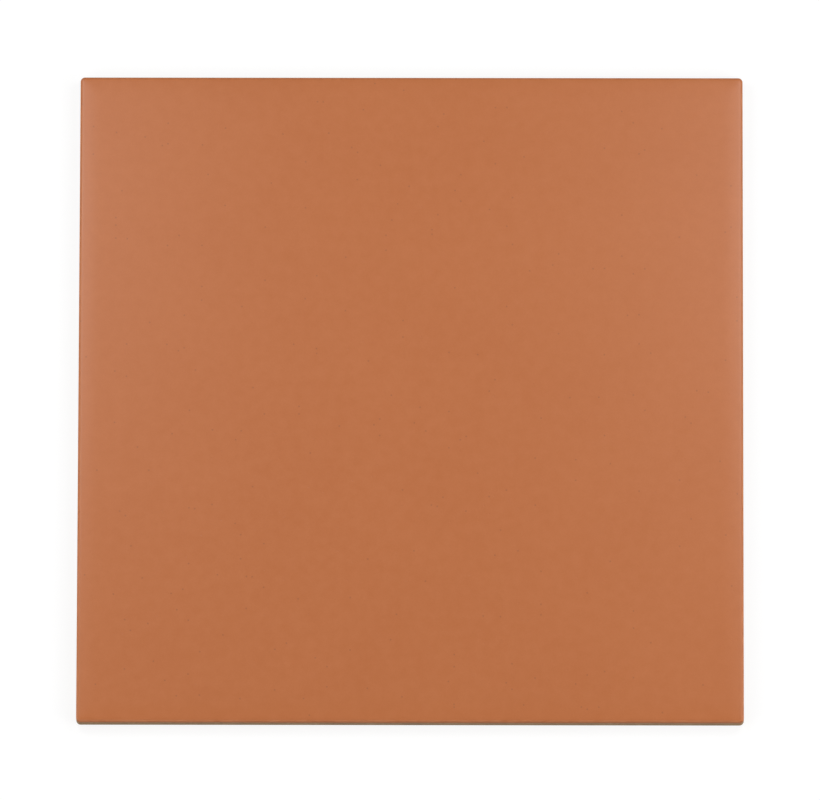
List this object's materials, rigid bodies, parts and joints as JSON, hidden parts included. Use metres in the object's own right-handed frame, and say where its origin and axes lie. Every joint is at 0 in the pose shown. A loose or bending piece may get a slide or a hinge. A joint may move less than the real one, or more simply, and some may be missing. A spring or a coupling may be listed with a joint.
{
  "type": "ceramic floor tile",
  "caption": "Square matte terracotta-coloured ceramic floor tile with softly rolled face edges, upright joint faces and a ribbed back for the adhesive bed.",
  "frame": {"origin": "middle of the back, on the rib tops that the tile lies on", "axes": "+Z out of the walked-on face, +X and +Y along the sides, -Y towards the side nearest the camera in the picture"},
  "size_m": [0.3, 0.3, 0.008],
  "materials": {
    "fired_tile": "matte terracotta glaze on the face, bare buff body on the sides and back"
  },
  "bodies": {
    "root": {"floor_tile": "fired_tile"}
  },
  "joints": []
}
